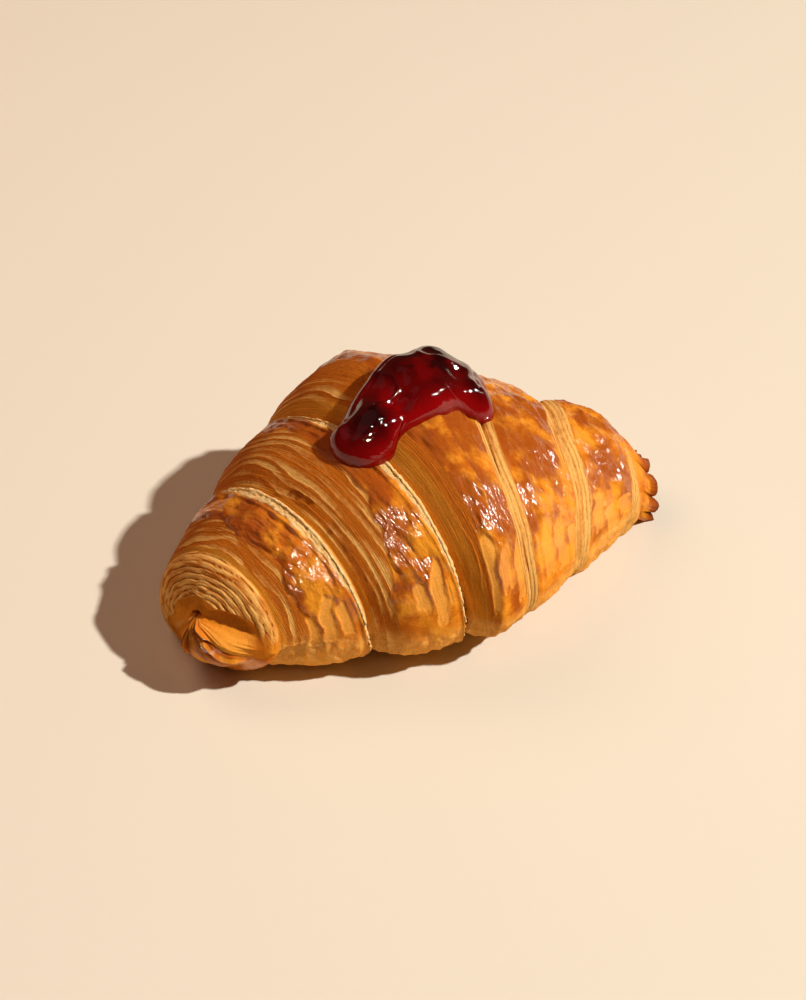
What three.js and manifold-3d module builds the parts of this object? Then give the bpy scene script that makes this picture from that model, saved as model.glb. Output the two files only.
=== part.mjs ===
// A croissant with a spoonful of jam on its crown.
// Millimetres, +Z up, underside at z = 0, tips along X, the free corner of the dough at -Y.
import * as THREE from "three";
import Module from "manifold-3d";
import { mergeVertices } from "three/addons/utils/BufferGeometryUtils.js";

// ---- loaf: overall form -------------------------------------------------------------------
const SPINE = 76; // half the length of the loaf, measured along its middle line
const BEND = { left: 9, right: 5 }; // how far each tip turns back, degrees
const MID_HALF_WIDTH = 54; // half width at the middle
const TIP_HALF_WIDTH = 12.5; // half width where the end caps begin to close
const WIDTH_POWER = 1.27; // how early the width falls off towards the tips
const MID_HEIGHT = 66; // height at the middle
const TIP_HEIGHT = 26; // height at the tips
const HEIGHT_POWER = 1.4;
const BELLY = 0.45; // height of the widest line, as a share of the height
const UNDERSIDE_POWER = 2.6; // squareness of the lower half of a section
const FLAT = 1.2; // depth of the contact patch pressed flat by the baking sheet

// ---- loaf: the rolled wraps ---------------------------------------------------------------
const CORNER_X = 3.4; // where the free corner of the dough triangle ends up
const CORNER = 10; // half width of that corner
const PITCH = { left: 26.5, right: 23.5 }; // advance of the dough edge per turn
const START = -31; // angle at which the dough edge starts, degrees
const FAN = 8.5; // extra width of the crown wrap over the back
const FAN_FADE = 0.6; // share of it lost from one wrap to the next
const FAN_RISE = [0.22, 0.55]; // turns between which the extra width grows
const FAN_DROP = [0.72, 1.0]; // and shrinks again
const UNDER = [0.68, 0.97]; // turns over which the edge runs back under the loaf
const GROOVE = 0.15; // depth of the step between wraps, as a share of the radius
const RIM = 0.2; // share of a wrap taken by its rounded rim
const BAND = 0.34; // share of a wrap that slopes down to the next groove
const BAND_DROP = 0.7; // share of the step that this slope takes up
const PUFF = { share: 0.05, along: -14, length: 30, angle: 126, spread: 40 }; // swollen back
const HELIX_WRAPS = 2.3; // sections follow the dough edge up to here, then turn square

// ---- loaf: the ends -----------------------------------------------------------------------
const CAP = { left: 8, right: 10 }; // length over which each end rounds off
const COIL = { left: 0.34, right: 0.2 }; // radius of the open coil, as a share of the end
const COIL_DEPTH = { left: 5, right: 1.5 };
const COIL_TAPER = 0.5; // share of the coil's radius lost on the way in
const CAP_POWER = 0.8; // fullness of the rounded end

// ---- jam ----------------------------------------------------------------------------------
const JAM_OUTLINE = [ // plan of the spoonful, round from the left end
  [-25, 0], [-24, -8], [-19, -14.5], [-13.5, -17], [-9.5, -13.5], [0, -13], [8, -10],
  [14, -13], [19.5, -11], [24, -3], [26.5, 5], [24, 11], [16, 15], [5, 13.5], [-5, 12], [-14, 6],
];
const JAM_MOUNDS = [ // x, y, reach, rise
  [10, 4, 12, 7], [-15, -6, 9, 5], [19, -2, 9, 3.5], [-4, 0, 9, 3], [16, 8, 7, 2],
];
const JAM_EDGE = 2; // thickness just inside the rim
const JAM_ROLL = 0.3; // share of its radius over which the rim rolls down
const JAM_ROOT = [[1, 5], [0.5, 9], [0, 9]]; // share of the plan, depth let into the loaf
const JAM_GAP = 0.4; // clearance between jam and crust

// ---- mesh fineness ------------------------------------------------------------------------
const AROUND = 40; // points round a section
const CROWN_RINGS = 8; // sections from the middle to the edge of the crown wrap
const WRAP_RINGS = 12; // sections per wrap
const END_RINGS = 10; // sections from the last helical one to the cap
const CAP_RINGS = 5;
const COIL_RINGS = 3;
const JAM_AROUND = 56;
const JAM_RINGS = 11;

const TURN = 2 * Math.PI;
const SIGN = { left: -1, right: 1 };
const radians = (degrees) => (degrees * Math.PI) / 180;
const clamp = THREE.MathUtils.clamp;
const mix = THREE.MathUtils.lerp;
const smooth = (x, [from, to]) => THREE.MathUtils.smoothstep(x, from, to);
const upTo = (count) => Array.from({ length: count }, (_, i) => i + 1);
const ANGLES = upTo(AROUND).map((i) => ((i - 1) / AROUND) * TURN);

/** Share of a turn travelled by the dough edge at an angle round the section. */
const turnOf = (angle) => THREE.MathUtils.euclideanModulo(angle - radians(START), TURN) / TURN;

/** Advance of the nth dough edge at a turn; it runs back to nothing under the loaf. */
function lead(turn, side, n) {
  const fan = smooth(turn, FAN_RISE) * (1 - smooth(turn, FAN_DROP));
  const spread = FAN * fan * clamp(1 - FAN_FADE * n, 0, 1);
  return (PITCH[side] * turn + spread) * (1 - smooth(turn, UNDER));
}

/** Wraps counted outwards from the edge of the crown wrap (negative inside it). */
function wrapAt(distance, turn, side) {
  const first = (distance - CORNER - lead(turn, side, 0)) / PITCH[side];
  const n = clamp(first, 0, 2);
  return first + (lead(turn, side, 0) - lead(turn, side, n)) / PITCH[side];
}

/** Depth of the relief, 0 on a crest and 1 in the groove between two wraps. */
function relief(wrap) {
  const share = wrap - Math.floor(wrap);
  const toNext = wrap < 0 ? -wrap : 1 - share;
  const rise = clamp(share / RIM, 0, 1);
  const rim = wrap < 0 ? 0 : 1 - Math.sqrt(Math.max(0, 1 - (1 - rise) ** 2));
  return Math.max(rim, BAND_DROP * (1 - clamp(toNext / BAND, 0, 1)) ** 2);
}

/** Point and sideways direction on the bent middle line. */
function spineAt(along) {
  const bend = radians(along < 0 ? BEND.left : BEND.right) * (Math.abs(along) / SPINE);
  const heading = -Math.sign(along) * bend;
  const reach = bend > 1e-9 ? Math.abs(along) * ((1 - Math.cos(bend)) / bend) : 0;
  const run = bend > 1e-9 ? (along * Math.sin(bend)) / bend : along;
  return { x: run, y: -reach, side: [-Math.sin(heading), Math.cos(heading)] };
}

/** Half width and height of the section at a place along the loaf. */
function sectionAt(along) {
  const t = Math.min(Math.abs(along) / SPINE, 1);
  return {
    half: mix(MID_HALF_WIDTH, TIP_HALF_WIDTH, t ** WIDTH_POWER),
    height: mix(MID_HEIGHT, TIP_HEIGHT, t ** HEIGHT_POWER),
  };
}

/** Swelling of the back, left of the crown. */
function puff(along, angle) {
  const round = THREE.MathUtils.euclideanModulo(angle, TURN) - radians(PUFF.angle);
  const [a, b] = [round / radians(PUFF.spread), (along - PUFF.along) / PUFF.length];
  return 1 + PUFF.share * Math.exp(-(a ** 2) - b ** 2);
}

/** Point on the crust; `close` shrinks the section towards its axis. */
function crust(along, angle, wrap, close = 1) {
  const { half, height } = sectionAt(along);
  const { x, y, side } = spineAt(along);
  const size = (1 - GROOVE * relief(wrap)) * puff(along, angle) * close;
  const middle = height * BELLY;
  const [c, s] = [Math.cos(angle), Math.sin(angle)];
  const p = UNDERSIDE_POWER;
  const square = s < 0 ? (Math.abs(s) ** p + Math.abs(c) ** p) ** (-1 / p) : 1;
  const across = -half * c * square * size;
  const up = middle + (s < 0 ? middle : height - middle) * s * square * size;
  return [x + side[0] * across, y + side[1] * across, Math.max(up, FLAT) - FLAT];
}

/** Distance from the corner of a section that runs along the dough edge. */
function helixDistance(wraps, turn, side) {
  if (wraps < 1) return wraps * (CORNER + lead(turn, side, 0));
  return CORNER + lead(turn, side, wraps - 1) + PITCH[side] * (wraps - 1);
}

/** One ring; `square` runs from 0, along the dough edge, to 1, straight across the tip. */
function ring(wraps, square, side) {
  const tip = SPINE - CAP[side] - SIGN[side] * CORNER_X;
  return ANGLES.map((angle) => {
    const turn = turnOf(angle);
    const distance = mix(helixDistance(wraps, turn, side), tip, square);
    return crust(CORNER_X + SIGN[side] * distance, angle, wrapAt(distance, turn, side));
  });
}

/** Rings of the rounded end, from the last open one to the bottom of its coil. */
function endRings(side) {
  const capped = upTo(CAP_RINGS).map((i) => {
    const rise = ((i / CAP_RINGS) * Math.PI) / 2;
    const close = mix(COIL[side], 1, Math.cos(rise) ** CAP_POWER);
    return [SPINE - CAP[side] * (1 - Math.sin(rise)), close];
  });
  const coiled = upTo(COIL_RINGS).map((i) => {
    const inwards = i / (COIL_RINGS + 1);
    return [SPINE - COIL_DEPTH[side] * inwards, COIL[side] * (1 - COIL_TAPER * inwards)];
  });
  return [...capped, ...coiled].map(([reach, close]) => ANGLES.map((angle) => {
    const wrap = wrapAt(reach - SIGN[side] * CORNER_X, turnOf(angle), side);
    return crust(SIGN[side] * reach, angle, wrap, close);
  }));
}

/** All rings from the middle out to one tip. */
function halfRings(side) {
  const wrapRings = Math.round(WRAP_RINGS * (HELIX_WRAPS - 1));
  return [
    ...upTo(CROWN_RINGS).map((i) => ring(i / CROWN_RINGS, 0, side)),
    ...upTo(wrapRings).map((i) => ring(mix(1, HELIX_WRAPS, i / wrapRings), 0, side)),
    ...upTo(END_RINGS).map((i) => ring(HELIX_WRAPS, i / END_RINGS, side)),
    ...endRings(side),
  ];
}

/** Bottom of the coil at one end. */
const coilPole = (side) => crust(SIGN[side] * (SPINE - COIL_DEPTH[side]), 0, 0, 0);

/** Closed mesh data from rings in order along the body and a pole at each end. */
function closedTube(rings, firstPole, lastPole) {
  const around = rings[0].length;
  const points = [firstPole, ...rings.flat(), lastPole];
  const at = (r, i) => 1 + r * around + (i % around);
  const faces = [];
  for (let i = 0; i < around; i += 1) {
    faces.push([0, at(0, i), at(0, i + 1)]);
    for (let r = 0; r < rings.length - 1; r += 1) {
      const [a, b, c, d] = [at(r, i), at(r, i + 1), at(r + 1, i + 1), at(r + 1, i)];
      faces.push([a, d, c], [a, c, b]);
    }
    faces.push([points.length - 1, at(rings.length - 1, i + 1), at(rings.length - 1, i)]);
  }
  return { points, faces };
}

/** Middle height of the loaf's top, without its grooves, over a point of the plan. */
function topOf(x, y) {
  const { half, height } = sectionAt(x);
  const across = Math.min(Math.abs(y - spineAt(x).y) / half, 1);
  const middle = height * BELLY;
  return middle + (height - middle) * Math.sqrt(1 - across ** 2) - FLAT;
}

/** Rise of the jam over the crust, `inset` being 0 at its rim and 1 well inside. */
function jamRise(x, y, inset) {
  const mounds = JAM_MOUNDS.map(([mx, my, reach, rise]) =>
    rise * Math.exp(-(((x - mx) / reach) ** 2) - ((y - my) / reach) ** 2));
  const round = Math.sqrt(Math.max(0, 1 - (1 - inset) ** 2));
  return (JAM_EDGE + mounds.reduce((sum, m) => sum + m, 0)) * round;
}

/** The spoonful before it is trimmed to the crust. */
function jamBlob() {
  const plan = JAM_OUTLINE.map(([x, y]) => new THREE.Vector3(x, y, 0));
  const curve = new THREE.CatmullRomCurve3(plan, true, "centripetal");
  const outline = upTo(JAM_AROUND).map((i) => curve.getPoint(i / JAM_AROUND));
  const level = (share, rise) => outline.map(({ x, y }) => {
    const [px, py] = [x * share, y * share];
    return [px, py, topOf(px, py) + rise(px, py)];
  });
  const above = [0, ...upTo(JAM_RINGS)].map((i) => {
    const share = Math.sin(((i / JAM_RINGS) * Math.PI) / 2);
    const inset = clamp((1 - share) / JAM_ROLL, 0, 1);
    return level(share, (x, y) => jamRise(x, y, inset));
  });
  const below = JAM_ROOT.map(([share, depth]) => level(share, () => -depth));
  const rings = [...above.slice(1), ...below.slice(0, -1)];
  return closedTube(rings, above[0][0], below.at(-1)[0]);
}

/** Buffer geometry from points and faces. */
function geometryOf({ points, faces }) {
  const geometry = new THREE.BufferGeometry();
  geometry.setAttribute("position", new THREE.Float32BufferAttribute(points.flat(), 3));
  geometry.setIndex(faces.flat());
  return geometry;
}

/** The same closed mesh moved outwards along its vertex normals. */
function inflated(body, distance) {
  const geometry = geometryOf(body);
  geometry.computeVertexNormals();
  const normals = geometry.getAttribute("normal");
  const points = body.points.map((p, i) => [
    p[0] + distance * normals.getX(i),
    p[1] + distance * normals.getY(i),
    p[2] + distance * normals.getZ(i),
  ]);
  return { points, faces: body.faces };
}

const wasm = await Module();
wasm.setup();

/** Manifold solid from points and faces. */
function solidOf({ points, faces }) {
  return new wasm.Manifold(new wasm.Mesh({
    numProp: 3,
    vertProperties: Float32Array.from(points.flat()),
    triVerts: Uint32Array.from(faces.flat()),
  }));
}

/** Points and faces of a manifold solid. */
function bodyOf(solid) {
  const { vertProperties, triVerts, numProp } = solid.getMesh();
  const count = vertProperties.length / numProp;
  const points = Array.from({ length: count }, (_, i) =>
    Array.from(vertProperties.slice(i * numProp, i * numProp + 3)));
  const faces = Array.from({ length: triVerts.length / 3 }, (_, i) =>
    Array.from(triVerts.slice(3 * i, 3 * i + 3)));
  return { points, faces };
}

/** What is left of the spoonful outside the loaf, with clearance on every side. */
function cutClear(spoonful, body) {
  const crumb = solidOf(body);
  const pushes = [[0, 0, 1], [1, 0, 0], [-1, 0, 0], [0, 1, 0], [0, -1, 0], [1, 0, 1], [-1, 0, 1]];
  const cuts = pushes.map((push) => {
    const step = new THREE.Vector3(...push).setLength(JAM_GAP);
    return crumb.translate(step.toArray());
  });
  cuts.push(solidOf(inflated(body, JAM_GAP)));
  return cuts.reduce((rest, cut) => rest.subtract(cut), spoonful);
}

const rings = [...halfRings("left").reverse(), ring(0, 0, "right"), ...halfRings("right")];
const loaf = closedTube(rings, coilPole("left"), coilPole("right"));

const jam = bodyOf(cutClear(solidOf(jamBlob()), loaf));

const bounds = new THREE.Box3().setFromPoints(loaf.points.map((p) => new THREE.Vector3(...p)));
const centre = bounds.getCenter(new THREE.Vector3());

/** A named mesh, moved so that the loaf's plan is centred on the origin. */
function meshOf(name, body, options) {
  const geometry = mergeVertices(geometryOf(body).translate(-centre.x, -centre.y, 0), 1e-4);
  geometry.computeVertexNormals();
  const mesh = new THREE.Mesh(geometry, new THREE.MeshStandardMaterial(options));
  mesh.name = name;
  return mesh;
}

const croissant = new THREE.Group();
croissant.name = "croissant_with_jam";
croissant.add(meshOf("croissant", loaf, { color: 0xb9722e, roughness: 0.45 }));
croissant.add(meshOf("jam", jam, { color: 0x8c0f14, roughness: 0.1 }));

export default croissant;
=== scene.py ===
"""A rolled croissant with a spoonful of jam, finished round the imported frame.

The loaf's own formulas work in millimetres, because its sizes repeat the frame's;
`publish` turns them into metres when a surface becomes a mesh.
"""
import logging
from dataclasses import dataclass, field
from enum import Enum

import bpy
import numpy as np
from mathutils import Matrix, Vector


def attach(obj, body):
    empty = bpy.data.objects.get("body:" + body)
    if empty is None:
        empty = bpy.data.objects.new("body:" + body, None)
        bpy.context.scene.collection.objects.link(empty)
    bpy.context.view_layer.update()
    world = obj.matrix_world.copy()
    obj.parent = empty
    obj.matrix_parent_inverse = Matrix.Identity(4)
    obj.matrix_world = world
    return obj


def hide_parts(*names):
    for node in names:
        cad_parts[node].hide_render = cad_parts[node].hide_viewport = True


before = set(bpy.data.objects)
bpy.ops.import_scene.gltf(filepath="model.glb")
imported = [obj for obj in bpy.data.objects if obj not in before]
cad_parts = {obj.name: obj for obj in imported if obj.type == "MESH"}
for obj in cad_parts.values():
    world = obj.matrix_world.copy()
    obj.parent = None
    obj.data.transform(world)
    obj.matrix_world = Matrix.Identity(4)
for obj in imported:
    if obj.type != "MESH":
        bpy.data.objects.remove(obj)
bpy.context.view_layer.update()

Grid = np.ndarray
Socket = bpy.types.NodeSocket

LOG = logging.getLogger("croissant")
MM = 0.001
TAU = 2 * np.pi
FAR = 99.0
CRUST_VALUES = ("crack_and_shade", "ridge", "layers", "rim", "wall", "bare", "glaze", "low", "toast")


# ---------------------------------------------------------------- small numpy helpers


def smooth(x: Grid, low: float, high: float) -> Grid:
    """Ease from 0 at `low` to 1 at `high`.

    Args:
        x: Values to ease.
        low: Value that gives 0.
        high: Value that gives 1.

    Returns:
        3u^2 - 2u^3 of the clipped share u of the way from low to high.
    """
    u = np.clip((x - low) / (high - low), 0.0, 1.0)
    return u * u * (3.0 - 2.0 * u)


def mix(a: Grid, b: Grid, share: Grid) -> Grid:
    """Straight blend from a to b."""
    return a + (b - a) * share


def bell(x: Grid, centre: float, width: float) -> Grid:
    """Bell curve of height 1: e to the minus square of the distance in widths."""
    return np.exp(-(((x - centre) / width) ** 2))


def between(x: Grid, low: float, full: float, still: float, gone: float) -> Grid:
    """Ease up from `low` to `full` and down again from `still` to `gone`."""
    return smooth(x, low, full) * (1 - smooth(x, still, gone))


def degrees_round(angle: Grid) -> Grid:
    """Angles in degrees from -90 under the loaf, over the front and top, to 270."""
    return np.degrees(np.mod(angle + np.pi / 2, TAU) - np.pi / 2)


def hand_over(values: dict) -> dict:
    """The crust's named values, all arrays of one shape, with 0 for those left out."""
    shape = np.broadcast_shapes(*(np.shape(grid) for grid in values.values()))
    return {key: np.broadcast_to(values.get(key, 0.0), shape) for key in CRUST_VALUES}


@dataclass(frozen=True)
class Noise:
    """Seeded lattice noise, the same on every run."""

    seed: int

    def chance(self, *cells: Grid) -> Grid:
        """Random share for each whole-number cell.

        Args:
            cells: One whole-number array per direction.

        Returns:
            A value from 0 to 1 that depends only on the cell and the seed: the
            cell numbers times large primes, mixed by shifts and products.
        """
        total = np.uint32(self.seed * 2654435761 % 2**32)
        for prime, cell in zip((73856093, 19349663, 83492791), cells):
            total = total ^ (np.asarray(cell).astype(np.int64) * prime).astype(np.uint32)
        total = (total ^ (total >> 15)) * np.uint32(2246822519)
        total = (total ^ (total >> 13)) * np.uint32(3266489917)
        return ((total ^ (total >> 16)) & 0xFFFFFF) / float(0xFFFFFF)

    def value(self, *coords: Grid) -> Grid:
        """Smooth noise from -1 to 1.

        Args:
            coords: Two or three coordinate arrays, one unit per lattice cell.

        Returns:
            The lattice corners' random values, blended by eased distances.
        """
        coords = np.broadcast_arrays(*coords)
        low = [np.floor(c).astype(np.int64) for c in coords]
        share = [c - f for c, f in zip(coords, low)]
        ease = [u * u * (3 - 2 * u) for u in share]
        total = np.zeros(coords[0].shape)
        for corner in range(2 ** len(coords)):
            weight = np.ones_like(total)
            cells = []
            for axis, (f, e) in enumerate(zip(low, ease)):
                step = corner >> axis & 1
                cells.append(f + step)
                weight = weight * (e if step else 1 - e)
            total += weight * self.chance(*cells)
        return 2 * total - 1

    def layered(self, *coords: Grid, octaves: int = 3) -> Grid:
        """Sum of octaves, each twice as fine and half as strong.

        Args:
            coords: Coordinate arrays, one unit per cell of the coarsest octave.
            octaves: How many are summed.

        Returns:
            The sum over its greatest size, from -1 to 1.
        """
        total = sum(
            0.5**k * Noise(self.seed + 11 * k).value(*[c * 2.0**k for c in coords])
            for k in range(octaves)
        )
        return total / (2 - 0.5 ** (octaves - 1))


def publish(
    name: str,
    points: Grid,
    faces: list[Grid],
    fields: dict[str, Grid],
) -> bpy.types.Object:
    """Make a smooth-shaded mesh object from whole arrays.

    Args:
        name: The piece's name.
        points: Vertex positions in millimetres, one row each.
        faces: Arrays of vertex numbers, one row per face, of three or four columns.
        fields: Named values per vertex for the piece's material.

    Returns:
        The object, linked to the scene with its place in its mesh.
    """
    mesh = bpy.data.meshes.new(name)
    rows = [row for block in faces for row in block.tolist()]
    mesh.from_pydata((points * MM).tolist(), [], rows)
    mesh.polygons.foreach_set("use_smooth", np.ones(len(rows), bool))
    for key, values in fields.items():
        layer = mesh.attributes.new(key, "FLOAT", "POINT")
        layer.data.foreach_set("value", np.asarray(values, np.float32).ravel())
    mesh.update()
    return put(name, mesh)


def put(name: str, data: bpy.types.ID) -> bpy.types.Object:
    """A new object in the scene that shows the data.

    Args:
        name: The object's name.
        data: A mesh, light or camera.

    Returns:
        The object.
    """
    made = bpy.data.objects.new(name, data)
    bpy.context.scene.collection.objects.link(made)
    return made


def tube_faces(rings: int, around: int) -> list[Grid]:
    """Faces of a closed tube of rings with a pole vertex before and after it.

    Args:
        rings: Number of rings.
        around: Points per ring.

    Returns:
        The quads between rings and the triangles at each pole.
    """
    at = 1 + np.arange(rings)[:, None] * around + np.arange(around)[None, :]
    turned = np.roll(at, -1, axis=1)
    quads = np.stack([at[:-1], at[1:], turned[1:], turned[:-1]], -1).reshape(-1, 4)
    first = np.stack([np.zeros(around, int), at[0], turned[0]], -1)
    last = np.stack([np.full(around, rings * around + 1), turned[-1], at[-1]], -1)
    return [quads, first, last]


# ---------------------------------------------------------------- the loaf's form


@dataclass(frozen=True)
class Flank:
    """Sizes of one half of the loaf, in millimetres and degrees."""

    sign: int
    pitch: float
    bend: float
    tip_half_width: float
    tip_height: float
    lift: float
    groove: float


LEFT = Flank(sign=-1, pitch=26.5, bend=9.0, tip_half_width=15.5, tip_height=27.0, lift=0.0,
             groove=0.15)
RIGHT = Flank(sign=1, pitch=23.5, bend=8.0, tip_half_width=11.5, tip_height=23.5, lift=3.0,
              groove=0.11)


class Part(Enum):
    """Pieces the crust is made of; each tucks under its neighbour in a groove."""

    CROWN = "crown_wrap"
    LEFT_END = "left_wraps"
    RIGHT_END = "right_wraps"


@dataclass(frozen=True)
class LoafForm:
    """The rolled loaf's overall form, with the frame's sizes in millimetres.

    A place on the crust is its distance along the bent middle line and its angle
    round the section: 0 at the front, a quarter turn at the top.
    """

    spine: float = 76.0
    mid_half_width: float = 54.0
    width_power: float = 1.27
    mid_height: float = 66.0
    height_power: float = 1.4
    belly: float = 0.45
    underside_power: float = 2.6
    flat: float = 1.2
    corner_x: float = 3.4
    corner: float = 10.0
    start: float = np.radians(-31.0)
    fan: float = 8.5
    fan_fade: float = 0.6
    rim: float = 0.14
    band: float = 0.4
    band_drop: float = 0.75
    shoulder: float = 0.34
    right_rim: float = 0.42
    right_shifts: tuple = ((-3.5, 3.0, -1.0), (-2.6, -4.0, 3.2), (0.0, 3.4, 0.0))

    def turn(self, angle: Grid) -> Grid:
        """Share of a turn that the dough's edge has travelled at an angle."""
        return np.mod(angle - self.start, TAU) / TAU

    def lead(self, turn: Grid, flank: Flank, n: Grid) -> Grid:
        """Advance of the nth dough edge at a turn.

        Args:
            turn: Share of a turn travelled.
            flank: The half of the loaf.
            n: Number of the edge, 0 for the crown's own.

        Returns:
            Millimetres: pitch times turn, plus a fan over the back and, on the right,
            each edge's own shifts over three zones of the front and top, all eased
            back to nothing under the loaf.
        """
        fan = between(turn, 0.22, 0.55, 0.72, 1.0)
        spread = self.fan * fan * np.clip(1 - self.fan_fade * n, 0, 1)
        if flank is RIGHT:
            front = between(turn, 0.02, 0.14, 0.4, 0.62)
            zones = (bell(turn, 0.21, 0.11), front, smooth(turn, 0.26, 0.36) * front)
            for shift, zone in zip(self.right_shifts, zones):
                spread = spread + np.interp(n, range(len(shift)), shift) * zone
        return (flank.pitch * turn + spread) * (1 - smooth(turn, 0.68, 0.97))

    def wrap(self, distance: Grid, turn: Grid, flank: Flank) -> Grid:
        """Wraps counted outwards from the crown's edge, negative inside it.

        Args:
            distance: Millimetres from the crown's middle line.
            turn: Share of a turn travelled.
            flank: The half of the loaf.

        Returns:
            The distance past the edge in pitches, corrected by each edge's own lead.
        """
        lead = self.lead(turn, flank, 0)
        first = (distance - self.corner - lead) / flank.pitch
        return first + (lead - self.lead(turn, flank, np.clip(first, 0, 2))) / flank.pitch

    def relief(self, wrap: Grid, flank: Flank) -> Grid:
        """Step between wraps, 0 on a crest and 1 in the groove.

        Args:
            wrap: Wraps counted outwards.
            flank: The half of the loaf.

        Returns:
            The deepest of a quarter-round rim just after the groove, a slow
            shoulder behind it and a parabola that falls over the band before the
            next one. On the left it fades out towards the coiled end, whose own
            mouth ends the last wrap.
        """
        share = np.mod(wrap, 1.0)
        to_next = np.where(wrap < 0, -wrap, 1 - share)
        rise = 1 - np.clip(share / (self.rim if flank is LEFT else self.right_rim), 0, 1)
        rim = np.where(wrap < 0, 0, 1 - np.sqrt(np.clip(1 - rise**2, 0, 1)))
        swell = np.where(wrap < 0, 0, self.shoulder * (1 - np.clip(share / 0.5, 0, 1)) ** 2)
        fall = self.band_drop * (1 - np.clip(to_next / self.band, 0, 1)) ** 2
        step = np.maximum(np.maximum(rim, swell), fall)
        return step * (1 - smooth(wrap, 1.3, 1.6)) if flank is LEFT else step

    def middle_line(self, along: Grid) -> tuple[Grid, Grid, Grid]:
        """Point and sideways direction of the middle line.

        Args:
            along: Millimetres along it, negative to the left.

        Returns:
            x and y on two circular arcs that curve forward, and the heading.
        """
        bend = np.radians(np.where(along < 0, LEFT.bend, RIGHT.bend)) * np.abs(along) / self.spine
        bend = np.maximum(bend, 1e-9)
        x = along * np.sin(bend) / bend
        y = -np.abs(along) * (1 - np.cos(bend)) / bend
        return x, y, -np.sign(along) * bend

    def section(self, along: Grid) -> tuple[Grid, Grid]:
        """Half width and height of the section there.

        Args:
            along: Millimetres along the middle line.

        Returns:
            Each blended from the crown's size to the tip's by a power of the share
            of the half length.
        """
        t = np.clip(np.abs(along) / self.spine, 0, 1)
        left = along < 0
        wide = np.where(left, LEFT.tip_half_width, RIGHT.tip_half_width)
        tall = np.where(left, LEFT.tip_height, RIGHT.tip_height)
        half = mix(self.mid_half_width, wide, t**self.width_power)
        return half, mix(self.mid_height, tall, t**self.height_power)

    def place(self, along: Grid, angle: Grid, size: Grid) -> Grid:
        """Points on the loaf.

        Args:
            along: Millimetres along the middle line.
            angle: Angle round the section.
            size: Scale of the section about its axis.

        Returns:
            Points: an ellipse above the widest line and a squarer curve below it,
            carried along the middle line, lowered by the flat of the underside and
            lifted off the floor at the right end.
        """
        half, height = self.section(along)
        x, y, heading = self.middle_line(along)
        c, s = np.cos(angle), np.sin(angle)
        p = self.underside_power
        square = np.where(s < 0, (np.abs(s) ** p + np.abs(c) ** p) ** (-1 / p), 1.0)
        middle = height * self.belly
        across = -half * c * square * size
        up = middle + np.where(s < 0, middle, height - middle) * s * square * size
        up = np.maximum(up, self.flat) - self.flat + RIGHT.lift * smooth(along, 38, self.spine)
        return np.stack([x - np.sin(heading) * across, y + np.cos(heading) * across, up], -1)

    def puff(self, along: Grid, angle: Grid) -> Grid:
        """Scale added to the section.

        Args:
            along: Millimetres along the middle line.
            angle: Angle round the section.

        Returns:
            1, swollen at the back left of the crown and over the last wrap on the
            right, drawn in under the left end and rounded off before the fan.
        """
        turned = np.mod(angle, TAU)
        back = bell(turned, np.radians(126), np.radians(40)) * bell(along, -14, 30)
        last = bell(turned, np.radians(105), np.radians(45)) * bell(along, 62, 9)
        under = bell(turned, np.radians(322), np.radians(36)) * smooth(-along, 44, 70)
        close = smooth(np.sin(turned), -0.2, 0.6) * np.clip((along - 62) / 7, 0, 1) ** 2
        return 1 + 0.04 * back + 0.07 * last - 0.17 * under - 0.12 * close


# ---------------------------------------------------------------- the crust


@dataclass
class Rings:
    """Rings of crust points, one row per ring and one column per angle."""

    flank: Flank
    along: Grid
    wrap: Grid
    before: Grid
    size: Grid
    tuck: Grid

    def joined(self, other: "Rings") -> "Rings":
        """This half followed by the other one, turned round.

        Args:
            other: The half that follows.

        Returns:
            Rings that run from this half's outer end to the other one's.
        """
        names = ("along", "wrap", "before", "size", "tuck")
        pairs = {n: np.concatenate([getattr(self, n)[::-1], getattr(other, n)]) for n in names}
        return Rings(flank=None, **pairs)


@dataclass
class Skin:
    """What lies where on the crust: heights to add and values for the material."""

    height: Grid
    push: Grid
    values: dict[str, Grid]


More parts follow.
